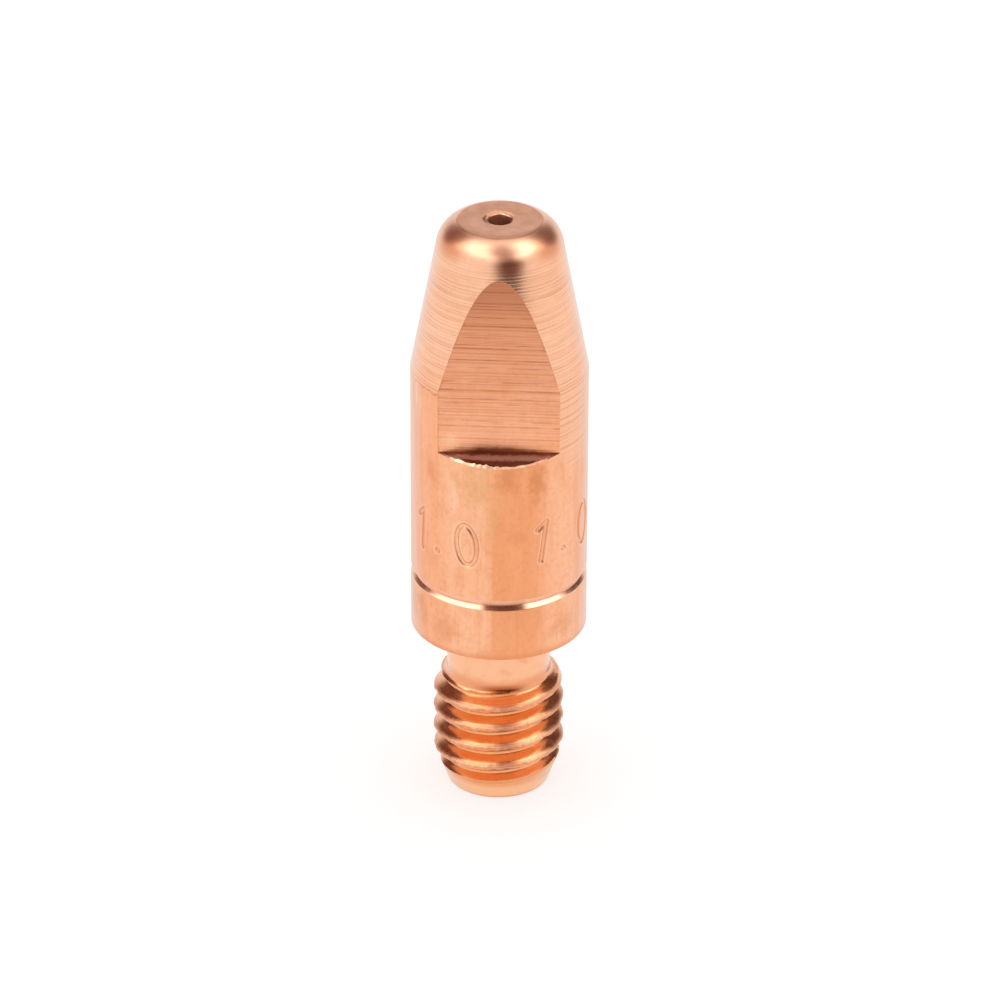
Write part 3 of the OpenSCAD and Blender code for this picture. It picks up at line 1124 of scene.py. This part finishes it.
# %% [markdown]
# ## Faces and their finish
# Each face gets a finish by its place. Faces could be picked by hand too, but a rule still holds when a
# size changes. The mesh is then scaled to metres and shaded smooth up to a set angle. The borders of flats
# and ledges are marked sharp, because in places they are nearly tangent to what they meet.

# %% Give each face its finish
SMOOTH_ANGLE = 32
FACE_BAND = 0.12
LEDGE_BAND = 0.3


def finish_of(at, normal):
    radius = math.hypot(at.x, at.y)
    if at.z < SEAT_Z + 0.01 or radius < BORE_R + 0.02:
        return THREADED
    if at.z > LENGTH - FACE_BAND and radius < FACE_R:
        crescent = 0.36 * at.y / radius + 0.08 * ragged(at.x * 6, at.y * 6, 3.0)
        return BURRED if radius < BORE_R + crescent else FACED
    if abs(abs(at.y) - FLAT_Y) < NEAR and abs(normal.y) > 0.99:
        return MILLED
    near_ledge = abs(at.y) > FLAT_Y and abs(at.z - ledge_height(at.y)) < LEDGE_BAND
    if near_ledge and radius < BODY_R - 0.005:
        on_rim = BODY_R - radius <= sum(RIM_WIDTHS) and abs(at.x) <= RIM_END
        return BURRED if on_rim else TORN
    if at.z > NOSE_Z:
        return TURNED
    if GROOVE_Z - GROOVE_BELOW < at.z < GROOVE_Z + GROOVE_ABOVE and radius < BODY_R - NEAR:
        return THREADED
    return DRAWN


def mark_flat_edges():
    """Marks the borders of the flats and of the ledges sharp."""
    flats, ledges = {}, {}
    for polygon in tip.data.polygons:
        if polygon.material_index == MILLED:
            count = flats
        elif polygon.material_index in (TORN, BURRED) and polygon.center.z * PER_METRE < NOSE_Z:
            count = ledges
        else:
            continue
        for key in polygon.edge_keys:
            count[key] = count.get(key, 0) + 1
    for edge in tip.data.edges:
        edge.use_edge_sharp = flats.get(edge.key, 0) == 1 or ledges.get(edge.key, 0) == 1


for material in finishes:
    tip.data.materials.append(material)
for polygon in tip.data.polygons:
    polygon.material_index = finish_of(polygon.center, polygon.normal)
tip.scale = (1 / PER_METRE,) * 3
select_only(tip)
bpy.ops.object.transform_apply(location=True, rotation=True, scale=True)
mark_flat_edges()
bpy.ops.object.shade_smooth_by_angle(angle=math.radians(SMOOTH_ANGLE), keep_sharp_edges=True)
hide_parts("contact_tip")
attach(tip, "root")
print("triangles:", sum(len(polygon.vertices) - 2 for polygon in tip.data.polygons))

# %% [markdown]
# ## Studio
# A white sheet under and behind the tip, a large soft box on either side, and dark cards where the room
# shows in the metal. The cards are seen only by reflections: without the dark gap between two lights,
# polished metal looks flat. They are oval and fade out towards their edge, so that no straight border shows
# in the copper.

# %% Floor and world
SEEN_RAYS = ("Is Camera Ray", "Is Glossy Ray", "Is Transmission Ray")
FLOOR_SIZE, PAPER_GREY, PAPER_GLOW = 3.0, 0.5, 0.56


def empty_material(name):
    """A material without nodes, opened for new ones."""
    material = bpy.data.materials.new(name)
    material.use_nodes = True
    open_tree(material.node_tree).nodes.clear()
    return material


def seen_directly():
    """One for a ray from the camera, a reflection or a refraction; zero for light that bounces softly."""
    path = add("ShaderNodeLightPath")
    from_camera, glossy, transmitted = (path.outputs[name] for name in SEEN_RAYS)
    return maths("MAXIMUM", maths("MAXIMUM", from_camera, glossy), transmitted)


bpy.ops.object.select_all(action="DESELECT")
bpy.ops.mesh.primitive_plane_add(size=FLOOR_SIZE, location=(0, 0, 0))
floor = bpy.context.object
floor.name = "floor"
paper = empty_material("white_paper")
matt = add("ShaderNodeBsdfDiffuse", {"Color": (PAPER_GREY,) * 3})
glow = add("ShaderNodeEmission", {"Strength": times(seen_directly(), PAPER_GLOW)})
both = add("ShaderNodeAddShader", {0: matt.outputs[0], 1: glow.outputs[0]})
add("ShaderNodeOutputMaterial", {"Surface": both.outputs[0]})
floor.data.materials.append(paper)

world = bpy.data.worlds.new("studio")
scene.world = world
world.use_nodes = True
sky = world.node_tree.nodes["Background"].inputs
sky["Color"].default_value = (1, 1, 1, 1)
sky["Strength"].default_value = 1.0
print("floor and world ready")

# %% Soft boxes and dark cards
STUDIO_DISTANCE = 0.5
ABOVE_FLOOR = 0.0005
SOFT_BOXES = (("soft_box_left", -58, 52, 0.84, 0.42, 1.2), ("soft_box_right", 70, 52, 0.72, 0.42, 1.5))
CARDS = (
    ("card_front", 17, 4, 0.72, 0.56, 0.05, 0.4, 0.35),
    ("card_front_high", 11, 54, 0.50, 0.62, 0.34, 0.55, 0.6),
    ("card_back_top", 180, 62, 1.30, 0.50, 0.75, 0.95, 0.7),
    ("card_back_left", -128, 36, 0.60, 0.70, 0.15, 0.3, 0.6),
    ("card_back_right", 128, 36, 0.60, 0.70, 0.10, 0.4, 0.65),
)
FLOOR_CARD = ("card_floor", 15, 0.10, 0.60, 0.25, 0.05, 0.4, 0.7)


def facing(side_angle, height_angle):
    """Place and turn of a panel that looks at the tip from a direction."""
    out = direction(side_angle, height_angle)
    return CAMERA_AIM + out * STUDIO_DISTANCE, (-out).to_track_quat("-Z", "Y").to_euler()


def hang_card(name, place, turn, width, height, brightness, coolness, clear_from):
    """A brown or grey card that only reflections see. It starts to fade at a share of the way to its edge."""
    bpy.ops.mesh.primitive_plane_add(size=1.0, location=place, rotation=turn)
    card = bpy.context.object
    card.name = name
    card.scale = (width, height, 1)
    bpy.ops.object.transform_apply(location=False, rotation=False, scale=True)
    material = empty_material(name)
    position = add("ShaderNodeTexCoord").outputs["Object"]
    away = length_of(stretch(position, 2 / width, 2 / height, 1))
    cool = coolness * brightness
    glow = add("ShaderNodeEmission", {"Color": (brightness, cool, cool)}).outputs[0]
    clear = add("ShaderNodeBsdfTransparent").outputs[0]
    mixed = add("ShaderNodeMixShader", {0: fade(away, clear_from, 1.0), 1: glow, 2: clear})
    add("ShaderNodeOutputMaterial", {"Surface": mixed.outputs[0]})
    card.data.materials.append(material)
    card.visible_camera = card.visible_diffuse = card.visible_shadow = card.visible_transmission = False


for name, side_angle, height_angle, width, height, radiance in SOFT_BOXES:
    place, turn = facing(side_angle, height_angle)
    bpy.ops.object.light_add(type="AREA", location=place, rotation=turn)
    light = bpy.context.object
    light.name = name
    light.data.shape = "RECTANGLE"
    light.data.size, light.data.size_y = width, height
    light.data.energy = radiance * math.pi * width * height
    light.visible_camera = light.visible_diffuse = False

for name, side_angle, height_angle, *look in CARDS:
    hang_card(name, *facing(side_angle, height_angle), *look)
name, side_angle, near, far, width, *look = FLOOR_CARD
middle = direction(side_angle, 0) * (near + far) / 2
hang_card(name, (middle.x, middle.y, ABOVE_FLOOR), (0, 0, math.radians(side_angle)), width, far - near, *look)
print("lights and cards:", [item[0] for item in SOFT_BOXES + CARDS], name)
